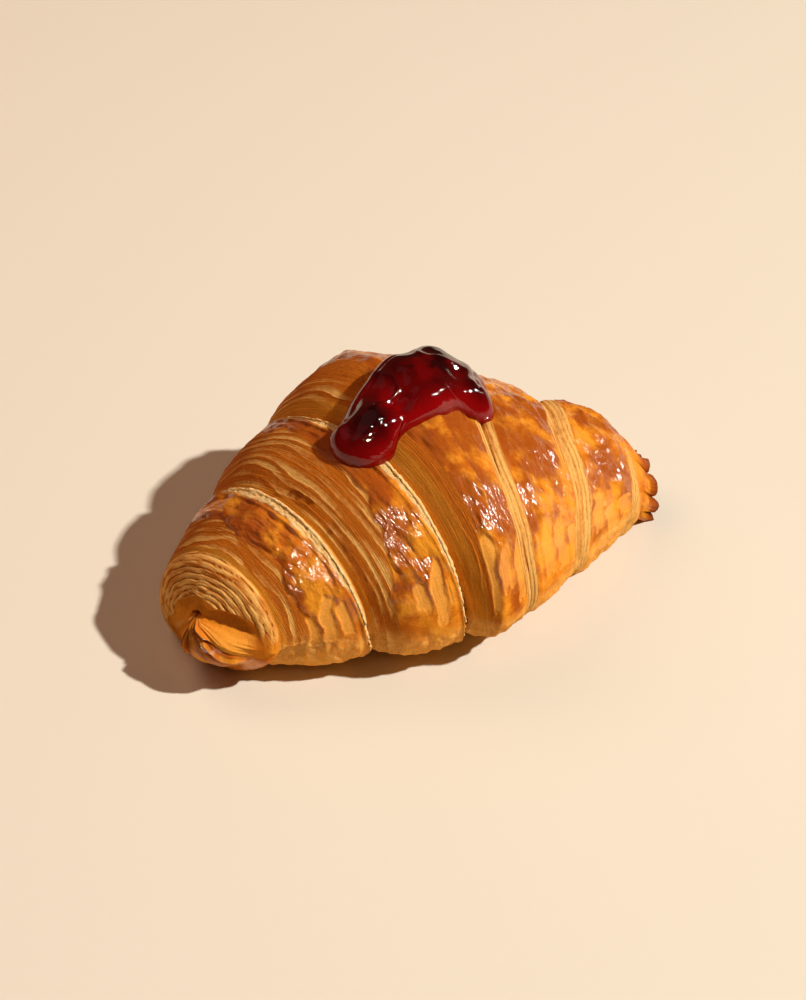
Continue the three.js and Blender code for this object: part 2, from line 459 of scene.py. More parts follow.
@dataclass(frozen=True)
class SkinMaker:
    """Works out layers, rims, patches and unevenness over rings of points."""

    layer_step: float = 2.4
    layer_height: float = 0.62
    rim_height: float = 0.8
    lip: float = 0.9
    pucker: float = 0.5
    blister: float = 0.75
    column_width: tuple = (4.9, 6.4)
    strand_step: float = 1.35
    leaf_step: float = 0.82

    def bands(self, ring: Rings, angle: Grid) -> dict[str, Grid]:
        """Where each kind of surface lies.

        Args:
            ring: Rings of points.
            angle: Angles round a section.

        Returns:
            Masks from 0 to 1 and distances in millimetres: from the groove behind
            (`after`), from the pale rim's far side (`past_rim`) and to the groove
            ahead (`before`); which half it is, and the angle's cosine and sine.
        """
        left = ring.along < LoafForm.corner_x
        pitch = np.where(left, LEFT.pitch, RIGHT.pitch)
        inner = ring.wrap < 0
        after = np.where(inner, FAR, np.mod(ring.wrap, 1.0) * pitch)
        after = np.where(left & (ring.wrap > 1.9), FAR, after)
        degrees = np.broadcast_to(degrees_round(angle), after.shape)
        back = smooth(degrees, 85, 125)
        crown = mix(6.5, 9.0, smooth(degrees, 5, 40)) + 13 * back
        first = mix(7.4, 15.6, smooth(degrees, 10, 75)) + 5 * back
        second = 7.5 + 5 * back
        width = np.where(inner, crown, np.where(ring.wrap < 1.2, first, second))
        uneven = 1 + 0.16 * Noise(2).layered(degrees / 14, np.floor(ring.wrap) + 9 * left)
        # Walls into the groove ahead are marked on the left only, where they face away from the light;
        # their olive colour is partly duller crust, partly painted shade.
        wall_width = np.where(left & inner, 5.4, np.where(left, 1.5, 0.1))
        frayed = 1 + 0.22 * Noise(4).layered(degrees / 3.5, np.floor(ring.wrap), octaves=2)
        rim_width = mix(1.9, 3.7, smooth(degrees, 10, 70)) * (1 - 0.5 * smooth(degrees, 100, 140))
        before, edge = ring.before, width * uneven
        reach = np.where(ring.wrap < 1, 2.6, 4.2) * uneven
        right_band = (1 - smooth(before, 1.6, 2.3)) + (1 - smooth(after, reach, reach + 0.7))
        band = np.where(left, 1 - smooth(before, edge * 0.88, edge), np.clip(right_band, 0, 1))
        foot = np.mod(degrees - 300 + 180, 360) - 180
        band = band * (1 - 0.9 * left * bell(foot, 0, 46) * smooth(ring.wrap, 1.45, 1.65))
        rim = np.where(left, 1 - smooth(after, rim_width * frayed * 0.85, rim_width * frayed * 1.1), 0)
        past_rim = after - 1.25 * rim_width
        return {
            "left": left,
            "cos": np.cos(angle)[None, :],
            "sin": np.sin(angle)[None, :],
            "after": after,
            "past_rim": past_rim,
            "crease": bell(past_rim, 0.0, 0.35),
            "before": np.where(left, before, np.where(after < 10, -after, before)),
            "degrees": degrees,
            "rim_width": rim_width,
            "rim": rim,
            "band": band,
            "width": np.where(left, edge, FAR),
            "wall": 1 - smooth(np.where(left, before, FAR), wall_width * 0.75, wall_width * 1.1),
        }

    def layering(self, ring: Rings, band: dict) -> dict:
        """Edges of the dough layers in the bands.

        Args:
            ring: Rings of points.
            band: Where each kind of surface lies.

        Returns:
            `height` in millimetres, and two values from 0 to 1: a dark one for the
            cracks between layers, which also paints shade on the steps' risers, and
            `ridge`, the pale layer tops, which also carries a painted highlight and is
            painted paler still on the right-hand bands that face the light. The
            distance to the groove, slowly warped, is cut into uneven steps; each rises
            sharply from a crack and then sinks, with a strength of its own that
            comes and goes round the section. Thin leaves lie over the steps, and
            the crown's left band is baked darker away from its groove.
        """
        left, c, s = band["left"], band["cos"], band["sin"]
        wrap = np.where(left, np.floor(ring.wrap), np.round(ring.wrap))
        shift = 17.3 * wrap + 40 * left
        along = band["before"] + 0 * shift
        warp = 0.9 * Noise(3).value(along / 8 + shift, 1.8 * c, 1.8 * s)
        warp = warp + 0.4 * Noise(5).value(along / 3.1 + shift, 3.6 * c, 3.6 * s)
        warp = warp + 0.07 * Noise(6).layered(along / 1.2 + shift, 17 * c, 17 * s, octaves=2)
        phase = along / np.where(left, self.layer_step, self.strand_step) + warp * np.where(left, 1.0, 0.6)
        line = np.floor(phase)
        share = phase - line
        key = line + 100 * wrap + 5000 * left
        flow = Noise(9).value(key * 3.1, 3.2 * c, 3.2 * s)
        strength = (0.35 + 0.65 * Noise(8).chance(key, 0 * key)) * (0.75 + 0.45 * flow)
        frayed = smooth(Noise(13).layered(key * 1.7, 4.5 * c, 4.5 * s, octaves=3), 0.14, 0.32)
        gap = (Noise(12).chance(key, 0 * key) > 0.5) * frayed * left * smooth(band["before"], 0.2, 1.0)
        near = (ring.wrap > 0) * (1 - smooth(band["before"], 4.5, 6.5))
        gap = gap * near * bell(band["degrees"], 84, 26)
        torn = bell(share, 0.01, 0.085)
        rise = smooth(share, 0.0, 0.16) - 0.75 * share
        leaf = along / self.leaf_step + 2.6 * warp + 0.2 * Noise(16).value(along / 2 + shift, 9 * c, 9 * s)
        leaf_line = np.floor(leaf)
        leaf_share = leaf - leaf_line
        leaf_own = Noise(14).chance(leaf_line + 60 * wrap, left + 0 * leaf_line)
        fade = smooth(Noise(15).value(leaf_line * 2.3, 5 * c, 5 * s), -0.5, 0.4)
        thin = (smooth(leaf_share, 0, 0.35) - 0.6 * leaf_share) * fade * leaf_own
        fibre = Noise(18).value(along / 0.6, 40 * c, 40 * s)
        height = strength * (rise - 0.1) + 0.30 * thin + 0.06 * fibre - 0.95 * gap * torn
        mask = band["band"] * (1 - 0.8 * band["wall"])
        # Dark crack at the foot of each step: partly the real gap between layers, partly painted shade on
        # the riser; torn gaps and leaf edges likewise.
        crack_and_shade = 0.85 * strength * bell(share, 0.0, 0.07)
        crack_and_shade = np.maximum(crack_and_shade, 0.7 * (1 - left) * bell(share, 0.0, 0.14) * (0.4 + 0.6 * flow))
        crack_and_shade = np.maximum(crack_and_shade, gap * torn * 1.2)
        crack_and_shade = np.maximum(crack_and_shade, 0.55 * fade * leaf_own * bell(leaf_share, 0.0, 0.2))
        # Pale tops of the steps: the layers' paler edges with a painted highlight; the 0.40 added on the
        # right paints light on bands that face the light.
        pale = between(share, 0.03, 0.14, 0.25, 0.95)
        ridge = pale * (0.45 + 0.55 * flow) + 0.5 * thin * leaf_own + 0.12 * fibre + 0.40 * (1 - left)
        baked = left * (ring.wrap < 0) * smooth(band["before"] / band["width"], 0.35, 0.6)
        ridge = ridge * (1 - 0.85 * baked)
        size = np.where(left, self.layer_height, 0.34 * self.layer_height)
        return {
            "height": height * mask * size,
            "crack_and_shade": np.clip(crack_and_shade, 0, 1) * mask,
            "ridge": np.clip(ridge, 0, 1) * band["band"],
        }

    def edging(self, ring: Rings, band: dict) -> Grid:
        """Height of the puffed pale rim after each groove, and the crease behind it.

        Args:
            ring: Rings of points.
            band: Where each kind of surface lies.

        Returns:
            Millimetres: a half sine over the rim's width with fibrous bumps, and
            a narrow crease where the glazed skin begins.
        """
        left, c, s = band["left"], band["cos"], band["sin"]
        share = np.clip(band["after"] / band["rim_width"], 0, 1)
        bumps = Noise(21).layered(band["after"] / 0.7, 52 * c, 52 * s, octaves=2)
        swell = Noise(22).layered(ring.wrap, 7 * c, 7 * s, octaves=2)
        bulge = np.sin(np.pi * share) ** 0.6 * (0.6 + 0.5 * swell + 0.75 * bumps)
        ridge = bell(band["past_rim"], 1.1, 0.6)
        return self.rim_height * bulge * band["rim"] + (0.12 * ridge - 0.28 * band["crease"]) * left

    def wrinkles(self, ring: Rings, band: dict) -> Grid:
        """Puckers of the glazed skin.

        Args:
            ring: Rings of points.
            band: Where each kind of surface lies.

        Returns:
            Millimetres: noise drawn out round the section, so its small ridges
            run with the dough, over broader blisters, both coming and going.
        """
        turned = band["degrees"] * 0.7
        slant = ring.along + 0.2 * turned + 0.8 * Noise(46).value(ring.along / 6, turned / 6)
        fine = Noise(47).layered(slant / 1.15, turned / 4.6, octaves=2)
        broad = Noise(48).layered(slant / 3.4, turned / 7.0, octaves=2)
        kept = smooth(Noise(49).layered(ring.along / 8, turned / 8), -0.35, 0.2)
        height = self.pucker * fine * (0.25 + 0.75 * kept) + self.blister * broad
        return height * smooth(band["degrees"], 5, 30)

    def peeling(self, ring: Rings, band: dict) -> tuple[Grid, Grid]:
        """Columns low on the flanks where the glazed skin has flaked.

        Args:
            ring: Rings of points.
            band: Where each kind of surface lies.

        Returns:
            The step in millimetres and the bare share from 0 to 1. Columns of
            their own height and length stand side by side, frayed by noise and
            curling up a little at the top and the foot.
        """
        degrees = band["degrees"]
        ragged = Noise(31).layered(ring.along / 1.6, degrees / 3.2, octaves=3)
        bare, step = 0.0, 0.0
        for middle, spread, seed in ((12.0, 20.0, 33), (177.0, 15.0, 37)):
            lean = 0.3 * Noise(seed).value(degrees / 9, 0 * degrees)
            u = ring.along / np.where(ring.along < 0, *self.column_width) + 0.12 * ragged + lean
            column = np.floor(u)
            share = u - column
            top = middle + spread * (0.35 + 0.75 * Noise(seed + 1).chance(column, 0 * column))
            foot = middle - spread * (0.25 + 0.75 * Noise(seed + 2).chance(column, 0 * column))
            kept = Noise(seed + 3).chance(column, 0 * column) < 0.9
            top = top - 3.2 * (2 * share - 1) ** 2
            above = smooth(degrees - foot + 4.5 * ragged, -0.8, 1.2)
            inside = above * (1 - smooth(degrees - top + 1.6 * ragged, -1.2, 1.4))
            inside = inside * kept * between(share, 0, 0.16, 0.7, 1.0)
            lift = bell(degrees, top, 2.2) + 0.8 * bell(degrees, foot, 2.0)
            bare = bare + inside
            step = step + inside * (0.05 + 0.22 * np.sin(np.pi * share) + 0.2 * lift)
        keep = (1 - band["band"]) * smooth(band["after"], 4.2, 5.2)
        return step * keep, bare * keep * np.where(ring.along < 0, 1.0, 0.6)

    def work(self, ring: Rings, angle: Grid, points: Grid) -> Skin:
        """Work out everything that lies on the crust.

        Args:
            ring: Rings of points.
            angle: Angles round a section.
            points: The loaf's form at those rings.

        Returns:
            Heights along the normal, pushes along the middle line and the values
            for the material.
        """
        band = self.bands(ring, angle)
        left = band["left"]
        layer = self.layering(ring, band)
        step, bare = self.peeling(ring, band)
        x, y, z = np.moveaxis(points, -1, 0)
        slow = Noise(51).layered(x / 24, y / 24, z / 24)
        dimple = Noise(52).layered(x / 6.5, y / 6.5, z / 6.5)
        ragged = Noise(53).layered(x / 2.6, y / 2.6, z / 3.5)
        flank_low = 1 - smooth(band["degrees"] + 6 * ragged, -4, 11)
        low = np.maximum(1 - smooth(z, 4.0, 13.0), flank_low * (1 - smooth(z, 16, 24)))
        glaze = (1 - band["rim"]) * (1 - band["band"]) * (1 - 0.8 * bare) * (1 - low)
        glaze = glaze * smooth(band["degrees"], 2, 17) * (1 - smooth(band["degrees"], 170, 188))
        start = np.where(left, band["before"], -band["before"]) - band["width"]
        baked = smooth(Noise(56).layered(x / 9, y / 9, z / 9), -0.5, 0.25)
        toast = np.maximum(bell(start, 0.0, 3.6) * baked, (1 - left) * 0.4 * baked)
        height = slow + dimple * (0.12 + 0.25 * glaze) + layer["height"] + step
        height = height + self.edging(ring, band) + (0.2 + 0.8 * ragged) * low
        height = height + self.wrinkles(ring, band) * glaze
        push = -self.lip * bell(band["after"], 0.0, 1.3) * left
        values = {
            # The crease behind each rim is darkened as painted shade in the crease.
            "crack_and_shade": np.clip(layer["crack_and_shade"] + 0.25 * band["crease"] * left, 0, 1),
            "ridge": layer["ridge"],
            "layers": band["band"],
            "rim": band["rim"],
            "wall": band["wall"],
            "bare": bare,
            "glaze": glaze,
            "low": low,
            "toast": toast * (1 - band["band"]) * (1 - bare),
        }
        return Skin(height * (1 - ring.tuck), push * (1 - ring.tuck), values)


@dataclass(frozen=True)
class CoilMouth:
    """The left end: a hooded mouth round the hollow of the coil.

    Rings close from the last wrap's edge on to the hollow. `share` runs from 0 at
    that edge to 1 in the hollow.
    """

    hollow: tuple = (-73.0, -11.5, 22.5)
    facing: float = 47.0
    rings: int = 96
    roll: float = 2.6
    roll_share: float = 0.16
    pit: float = 3.0
    depth: float = 0.985
    foot_angle: float = 312.0
    layer_step: float = 1.7
    page_turn: float = 21.0
    page_height: float = 3.8
    belly: float = 5.2

    def close(self, edge: Grid, angle: Grid) -> tuple[Grid, dict]:
        """Close the left end.

        Args:
            edge: The last ring's points.
            angle: Angles round a section.

        Returns:
            Rings of points and values for the material. Each point lies on the
            line from the edge to the hollow, raised along the mouth's facing by
            a quarter-round roll, an arch of layers, a recess under it, the folded
            sheets of the core hanging out below, a fold at the back and a pit.
        """
        share = (np.linspace(0, 1, self.rings + 1)[1:])[:, None] * self.depth
        degrees = degrees_round(angle)[None, :]
        c, s = np.cos(angle)[None, :], np.sin(angle)[None, :]
        phi = np.clip(share / self.roll_share, 0, 1) * np.pi / 2
        rest = np.clip((share - self.roll_share) / (1 - self.roll_share), 0, 1)
        keep = 1 - self.roll_share * (1 - np.cos(phi)) - (1 - self.roll_share) * rest
        warp = Noise(71).layered(2.5 * share, 2 * c, 2 * s)
        foot = np.mod(degrees - self.foot_angle + 12 * rest + 180, 360) - 180
        nub = between(foot, -80, -56, 44, 70)
        arch = between(degrees, 18, 58, 196, 212)
        limit = mix(0.07, mix(0.60, 0.42, smooth(degrees, 130, 190)), arch)
        rolled = (1 - smooth(rest, limit - 0.07, limit + 0.02)) * (1 - nub)
        sheets = between(foot, -66, -58, 30, 38)
        patch = between(foot, 32, 40, 54, 70)
        lens = bell(degrees + 16 * rest, 228, 11) * smooth(rest, 0.05, 0.35)
        away = between(rest, 0.0, 0.2, 0.9, 1.0)
        hood = between(degrees, 2, 28, 150, 200)

        arc = phi * self.roll + 15 * rest + 1.5 * warp
        layer = np.mod(arc / self.layer_step, 1.0)
        layered = (smooth(layer, 0, 0.25) - 0.6 * layer) * rolled
        tread = np.mod(foot / self.page_turn + 0.9 * rest + 0.7 * warp, 1.0)
        page = smooth(tread, 0.0, 0.16) - tread
        line = Noise(73).layered(26 * share + 3 * warp, 5 * c, 5 * s, octaves=2)
        radial = Noise(74).layered(3 * share, 22 * c, 22 * s, octaves=2)

        rise = self.roll * np.sin(phi) + 0.65 * layered
        recess = (0.4 + 1.3 * hood) * smooth(rest, limit - 0.02, limit + 0.16) * (1 - nub)
        belly = self.belly * nub * bell(rest, 0.42, 0.38) + 1.5 * lens
        folds = (self.page_height * page * sheets + 0.5 * radial * patch) * away * (1 - 0.3 * rest)
        height = rise - recess + belly + folds + 0.2 * line * rolled * away
        height = height - self.pit * smooth(rest, 0.86, 1.0)
        a = np.radians(self.facing)
        out = np.array([-np.sin(a) * 0.98, -np.cos(a) * 0.98, 0.18])
        hollow = np.array(self.hollow)
        points = hollow + (edge[None] - hollow) * keep[..., None] + out * height[..., None]
        # Painted shade: dark seams between the folded sheets and at the roll's layer steps.
        seam_shade = (1 - smooth(tread, 0.05, 0.34)) * sheets * away
        step = 0.75 * (1 - smooth(layer, 0.0, 0.18)) * rolled * smooth(share, 0, 0.03)
        dark_and_shade = np.maximum(seam_shade, step)
        browned = 1.2 * sheets * smooth(tread, 0.4, 0.8)
        return points, hand_over({
            # The pit at the hollow is darkened as painted shade.
            "crack_and_shade": np.clip(dark_and_shade + 0.5 * smooth(rest, 0.92, 1.0), 0, 1),
            # The sheet at the back (lens) is painted pale: partly its paler dough, partly a painted
            # highlight.
            "ridge": np.clip(0.15 + 0.6 * layered + 0.5 * line, 0, 1) * rolled + 0.7 * lens,
            "layers": np.maximum(rolled, 0.8 * lens),
            # The recess under the arch takes the walls' olive: partly duller crust, partly painted shade
            # under the arch.
            "wall": 0.6 * smooth(degrees, 2, 28) * (1 - rolled) * (1 - nub),
            "bare": np.maximum(0.6 * patch, 0.4 * smooth(page, 0.5, 0.8) * sheets) * away,
            "glaze": 0.7 * sheets * smooth(share, 0, 0.1),
            "toast": np.maximum(browned, 0.5 * arch * (1 - rolled)) * away,
        })


@dataclass(frozen=True)
class FanTip:
    """The right end: a short pleated skirt with a scalloped edge round a dish."""

    reach: float = 8.5
    droop: float = 5.5
    rings: int = 52
    dish_rings: int = 16
    dish_depth: float = 5.0
    scallops: float = 4.0

    def close(self, form: LoafForm, along: Grid, size: Grid, angle: Grid) -> tuple:
        """Close the right end.

        Args:
            form: The loaf's form.
            along: Where the last ring lies.
            size: Scale of the section there.
            angle: Angles round a section.

        Returns:
            Rings of points and values for the material. The skirt flares from a
            neck and folds into rounded pleats that deepen to a scalloped edge;
            the dish shrinks back inside it.
        """
        share = np.linspace(0, 1, self.rings + 1)[1:, None]
        dish = np.linspace(0, 1, self.dish_rings + 1)[1:, None]
        warp = Noise(75).layered(1.5 * np.cos(angle), 1.5 * np.sin(angle))[None, :]
        pleat = np.abs(np.cos(self.scallops * angle[None, :] + 0.5 + 1.6 * warp))
        grow = smooth(share, 0.1, 0.9)
        reach = self.reach + 2.4 * (pleat**0.5 - 0.6)
        neck = 1 - 0.06 * bell(share, 0.12, 0.12) - 0.06 * share**2
        ray = np.abs(np.cos(2.6 * self.scallops * angle[None, :] + 2.1 * warp))
        skirt = size * neck * (1 + (0.13 * (pleat**0.5 - 0.8) + 0.018 * ray) * grow)
        line = 0.012 * Noise(77).value(0 * share, 30 * np.cos(angle), 30 * np.sin(angle)) * grow
        edge_along = along + reach
        sunk = edge_along - self.dish_depth * np.sin(dish * np.pi / 2) + 0 * pleat
        run = np.concatenate([along + reach * share, sunk])
        scale = np.concatenate([skirt + line, (skirt[-1:] + line[-1:]) * (1 - 0.93 * dish)])
        points = form.place(run, angle[None, :], scale)
        points[..., 2] -= self.droop * smooth(run, along.min(), edge_along.max())
        outer = np.concatenate([share, 1 + 0 * dish]) + 0 * pleat
        # Painted shade in the folds between pleats and ribs; the darker outer edge is the browned rim.
        fold_shade = np.maximum(1 - smooth(pleat, 0.08, 0.4), 0.35 * (1 - smooth(ray, 0.05, 0.3)))
        dark_and_shade = 0.75 * fold_shade * smooth(outer, 0.15, 0.6) + 0.65 * smooth(outer, 0.8, 1.0)
        return points, hand_over({
            "crack_and_shade": np.clip(dark_and_shade, 0, 1),
            "ridge": 0.5,
            "layers": 0.5 * (1 - smooth(outer, 0.05, 0.3)),
            "glaze": 0.35 * smooth(pleat, 0.4, 0.9),
            "toast": smooth(outer, 0.35, 0.95),
        })


@dataclass
class Crust:
    """The baked crust: a crown wrap and the wraps of both ends."""

    form: LoafForm = field(default_factory=LoafForm)
    skin: SkinMaker = field(default_factory=SkinMaker)
    mouth: CoilMouth = field(default_factory=CoilMouth)
    fan: FanTip = field(default_factory=FanTip)
    crown_around: int = 400
    end_around: int = 300
    crown_rings: tuple = (112, 80)
    helix_rings: tuple = (150, 116)
    square_rings: int = 76
    tuck_rings: int = 6
    tuck_reach: float = 0.8
    helix_wraps: float = 1.3
    mouth_reach: float = 65.5
    fan_gap: float = 7.0
    fan_scale: float = 0.97
    fade_rings: float = 6.0
    groove_depths: tuple = (0.3, 1.15)
    clouds: list = field(default_factory=list)

    def angles(self, count: int) -> Grid:
        """Angles round a section, closest over the front and top.

        Args:
            count: How many angles.

        Returns:
            Angles at even steps of a density that is highest over the front and top.
        """
        grid = np.radians(np.linspace(-90, 270, 1441))
        degrees = np.degrees(grid)
        dense = 0.55 + 0.2 * between(degrees, -50, -25, 195, 225)
        dense = dense + 0.25 * between(degrees, -25, 0, 110, 140)
        share = np.concatenate([[0], np.cumsum(dense[1:])])
        return np.interp(np.arange(count) / count, share / share[-1], grid)

    def crown_half(self, flank: Flank, angle: Grid) -> Rings:
        """Rings from the middle of the crown out to its tucked edge.

        Args:
            flank: The half of the loaf.
            angle: Angles round a section.

        Returns:
            Rings spread over the distance to the edge, closer near it, and a few that
            shrink inwards under the next wrap.
        """
        form, turn = self.form, self.form.turn(angle)[None, :]
        edge = form.corner + form.lead(turn, flank, 0)
        even = np.linspace(0, 1, self.crown_rings[flank is RIGHT])
        share = np.interp(even, [0, 0.25, 1], [0, 0.5, 1])[1:, None]
        distance = share * edge
        inward = np.linspace(0, 1, self.tuck_rings + 1)[1:, None]
        tail = edge + self.tuck_reach * np.sin(inward * np.pi / 2)
        wrap = form.wrap(distance, turn, flank)
        size = 1 - flank.groove * self.depth(flank, angle) * form.relief(wrap, flank)
        size = np.concatenate([size, size[-1:] * (1 - 0.85 * inward**1.3)])
        distance = np.concatenate([distance, tail])
        wrap = np.minimum(np.concatenate([wrap, np.full_like(tail, -1e-3)]), -1e-3)
        tuck = np.concatenate([np.zeros((len(share), 1)), np.ones_like(inward)]) + 0 * distance
        along = form.corner_x + flank.sign * distance
        return Rings(flank, along, wrap, -wrap * flank.pitch, size, tuck)

    def depth(self, flank: Flank, angle: Grid) -> Grid:
        """How deep the grooves are cut at each angle.

        Args:
            flank: The half of the loaf.
            angle: Angles round a section.

        Returns:
            A factor: 1 on the left, shallow in front and deeper over the back on the
            right.
        """
        if flank is LEFT:
            return np.ones_like(angle)[None, :]
        return mix(*self.groove_depths, smooth(degrees_round(angle), 35, 95))[None, :]

    def end_rings(self, flank: Flank, angle: Grid) -> Rings:
        """Rings from the tuck under the crown out to the last edge of an end.

        Args:
            flank: The half of the loaf.
            angle: Angles round a section.

        Returns:
            Rings that start shrunk under the crown, follow the helix of the edges and
            then even out to the line where the mouth or the fan begins.
        """
        form, turn = self.form, self.form.turn(angle)[None, :]
        edge = form.corner + form.lead(turn, flank, 0)
        inward = np.linspace(1, 0, self.tuck_rings + 1)[:-1, None]
        head = edge - self.tuck_reach * np.sin(inward * np.pi / 2)
        wraps = np.linspace(0, self.helix_wraps, self.helix_rings[flank is RIGHT])[:, None]
        helix = form.corner + form.lead(turn, flank, wraps) + flank.pitch * wraps
        if flank is LEFT:
            last = form.corner_x + self.mouth_reach - 6.0 * np.cos(angle) - 2.0 * np.sin(angle)
            last = last[None, :]
        else:
            last = form.spine - self.fan_gap - form.corner_x + 0 * turn
        square = np.linspace(0, 1, self.square_rings)[1:, None]
        distance = np.concatenate([helix, mix(helix[-1:], last, square)])
        wrap = form.wrap(distance, turn, flank)
        size = 1 - flank.groove * self.depth(flank, angle) * form.relief(wrap, flank)
        nearest = (1 - np.mod(wrap, 1.0)) * flank.pitch
        if flank is LEFT:
            outwards = mix(nearest, last - distance, smooth(wrap, self.helix_wraps, 1.5))
            nearest = np.where(wrap > self.helix_wraps, outwards, nearest)
        size = np.concatenate([size[:1] * (1 - 0.85 * inward**1.3), size])
        tuck = np.concatenate([np.ones_like(inward), np.zeros((len(distance), 1))])
        wrap = np.maximum(np.concatenate([0 * head, wrap]), 0)
        before = np.concatenate([0 * head + flank.pitch, nearest])
        distance = np.concatenate([head, distance])
        along = form.corner_x + flank.sign * distance
        return Rings(flank, along, wrap, before, size, tuck + 0 * distance)

    def shape(self, part: Part) -> tuple[Grid, Grid, dict, Grid]:
        """Work out one piece of the crust.

        Args:
            part: The piece.

        Returns:
            Its rings of points, its angles, its values for the material and the
            wrap count of each point: the loaf's form moved along its normals by
            the skin, with the ends closed by their mouth or fan.
        """
        form = self.form
        if part is Part.CROWN:
            angle = self.angles(self.crown_around)
            ring = self.crown_half(LEFT, angle).joined(self.crown_half(RIGHT, angle))
        else:
            angle = self.angles(self.end_around)
            ring = self.end_rings(LEFT if part is Part.LEFT_END else RIGHT, angle)
        points = form.place(ring.along, angle[None, :], ring.size * form.puff(ring.along, angle))
        run = np.gradient(points, axis=0)
        normal = np.cross(np.roll(points, -1, 1) - np.roll(points, 1, 1), run)
        sign = -1.0 if ring.along[-1].mean() < ring.along[0].mean() else 1.0
        normal *= sign / (np.linalg.norm(normal, axis=-1, keepdims=True) + 1e-9)
        tangent = run * sign / (np.linalg.norm(run, axis=-1, keepdims=True) + 1e-9)
        skin = self.skin.work(ring, angle, points)
        fade = 1.0
        if part is not Part.CROWN:
            fade = np.clip((len(points) - 1 - np.arange(len(points))) / self.fade_rings, 0, 1)[:, None]
        points = points + normal * (skin.height * fade)[..., None]
        points = points + tangent * (skin.push * fade)[..., None]
        values, wrap = skin.values, ring.wrap
        if part is not Part.CROWN:
            if part is Part.LEFT_END:
                tip, extra = self.mouth.close(points[-1], angle)
            else:
                tip, extra = self.fan.close(form, ring.along[-1:], ring.size[-1:] * self.fan_scale, angle)
                swollen = points[-1] - form.place(ring.along[-1], angle, ring.size[-1])
                tip = tip + swollen * np.linspace(1, 0, len(tip))[:, None, None] ** 2
            points = np.concatenate([points, tip])
            values = {k: np.concatenate([v, extra[k]]) for k, v in values.items()}
            out = wrap[-1:] + np.linspace(0, 0.6, len(tip) + 1)[1:, None]
            wrap = np.concatenate([wrap, out])
        points[..., 2] = np.maximum(points[..., 2], 0)
        if sign < 0:
            points, wrap = points[::-1], wrap[::-1]
            values = {k: v[::-1] for k, v in values.items()}
        return points, angle, values, wrap

    def build(self, part: Part) -> bpy.types.Object:
        """Make one piece of the crust as a closed mesh with its UV map.

        Args:
            part: The piece.

        Returns:
            The object: the piece's rings with a pole in the middle of each end.
        """
        points, angle, values, wrap = self.shape(part)
        rings, around = points.shape[:2]
        ends = points[:1].mean(1), points[-1:].mean(1)
        cloud = np.concatenate([ends[0], points.reshape(-1, 3), ends[1]])
        self.clouds.append(cloud)

        def pad(grid: Grid) -> Grid:
            """A grid's values with one more for each pole."""
            flat = np.broadcast_to(grid, (rings, around)).ravel()
            return np.concatenate([flat[:1], flat, flat[-1:]])

        fields = {key: pad(grid) for key, grid in values.items()}
        piece = publish(part.value, cloud, tube_faces(rings, around), fields)
        self.unroll(piece, angle, pad(wrap))
        LOG.info("%s: %d rings of %d points", part.value, rings, around)
        return piece

    def unroll(self, piece: bpy.types.Object, angle: Grid, wrap: Grid) -> None:
        """Give a piece a UV map that runs with the dough.

        Args:
            piece: The piece.
            angle: Angles round a section.
            wrap: Wraps counted outwards, for each vertex.

        The first coordinate counts the wraps and the second the turns, so a
        pattern can be drawn out along the layers.
        """
        mesh = piece.data
        layer = mesh.uv_layers.new(name="dough")
        corner = np.zeros(len(mesh.loops), np.int64)
        mesh.loops.foreach_get("vertex_index", corner)
        turns = np.mod(angle - angle[0], TAU) / TAU
        turn = turns[np.clip(corner - 1, 0, len(wrap) - 3) % len(angle)]
        start = np.zeros(len(mesh.polygons), np.int64)
        total = np.zeros(len(mesh.polygons), np.int64)
        mesh.polygons.foreach_get("loop_start", start)
        mesh.polygons.foreach_get("loop_total", total)
        widest = np.maximum.reduceat(turn, start)[np.repeat(np.arange(len(start)), total)]
        turn = np.where((turn < 0.25) & (widest > 0.75), turn + 1, turn)
        layer.data.foreach_set("uv", np.stack([wrap[corner], turn], -1).astype(np.float32).ravel())


# ---------------------------------------------------------------- the jam


